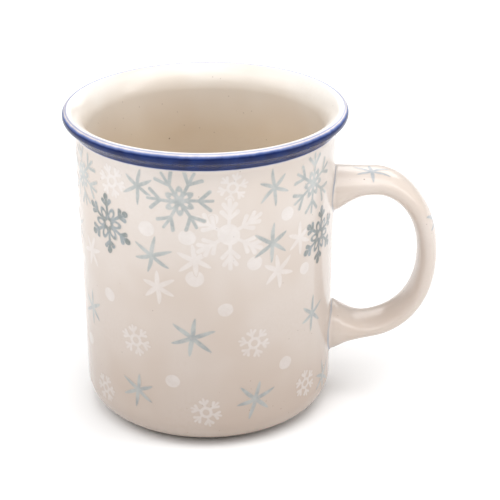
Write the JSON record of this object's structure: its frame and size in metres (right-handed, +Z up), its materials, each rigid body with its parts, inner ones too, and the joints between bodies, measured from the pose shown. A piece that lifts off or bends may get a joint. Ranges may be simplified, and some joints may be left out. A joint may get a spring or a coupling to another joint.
{
  "type": "stoneware mug",
  "caption": "Straight-sided glazed stoneware mug with a rolled-out lip, a blue lip band and a single oval-section loop handle.",
  "frame": {"origin": "on the cup's axis, at the plane of the bare foot ring that stands on the table", "axes": "+Z up along the cup's axis, +X towards the handle, so that the handle's loop lies in the XZ plane, and +Y across"},
  "size_m": [0.1143, 0.086, 0.097],
  "materials": {
    "bare_clay": "matte fired clay",
    "slip": "matte fired clay",
    "liner": "gloss",
    "cream_glaze": "gloss",
    "cobalt_glaze": "gloss"
  },
  "bodies": {
    "root": {"stoneware_cup": "bare_clay", "handle": "bare_clay", "upper_slip_joint": "slip", "lower_slip_joint": "slip", "liner_glaze": "liner", "cobalt_rim_band": "cobalt_glaze", "outer_glaze": "cream_glaze", "handle_glaze": "cream_glaze", "base_glaze": "cream_glaze"}
  },
  "joints": []
}
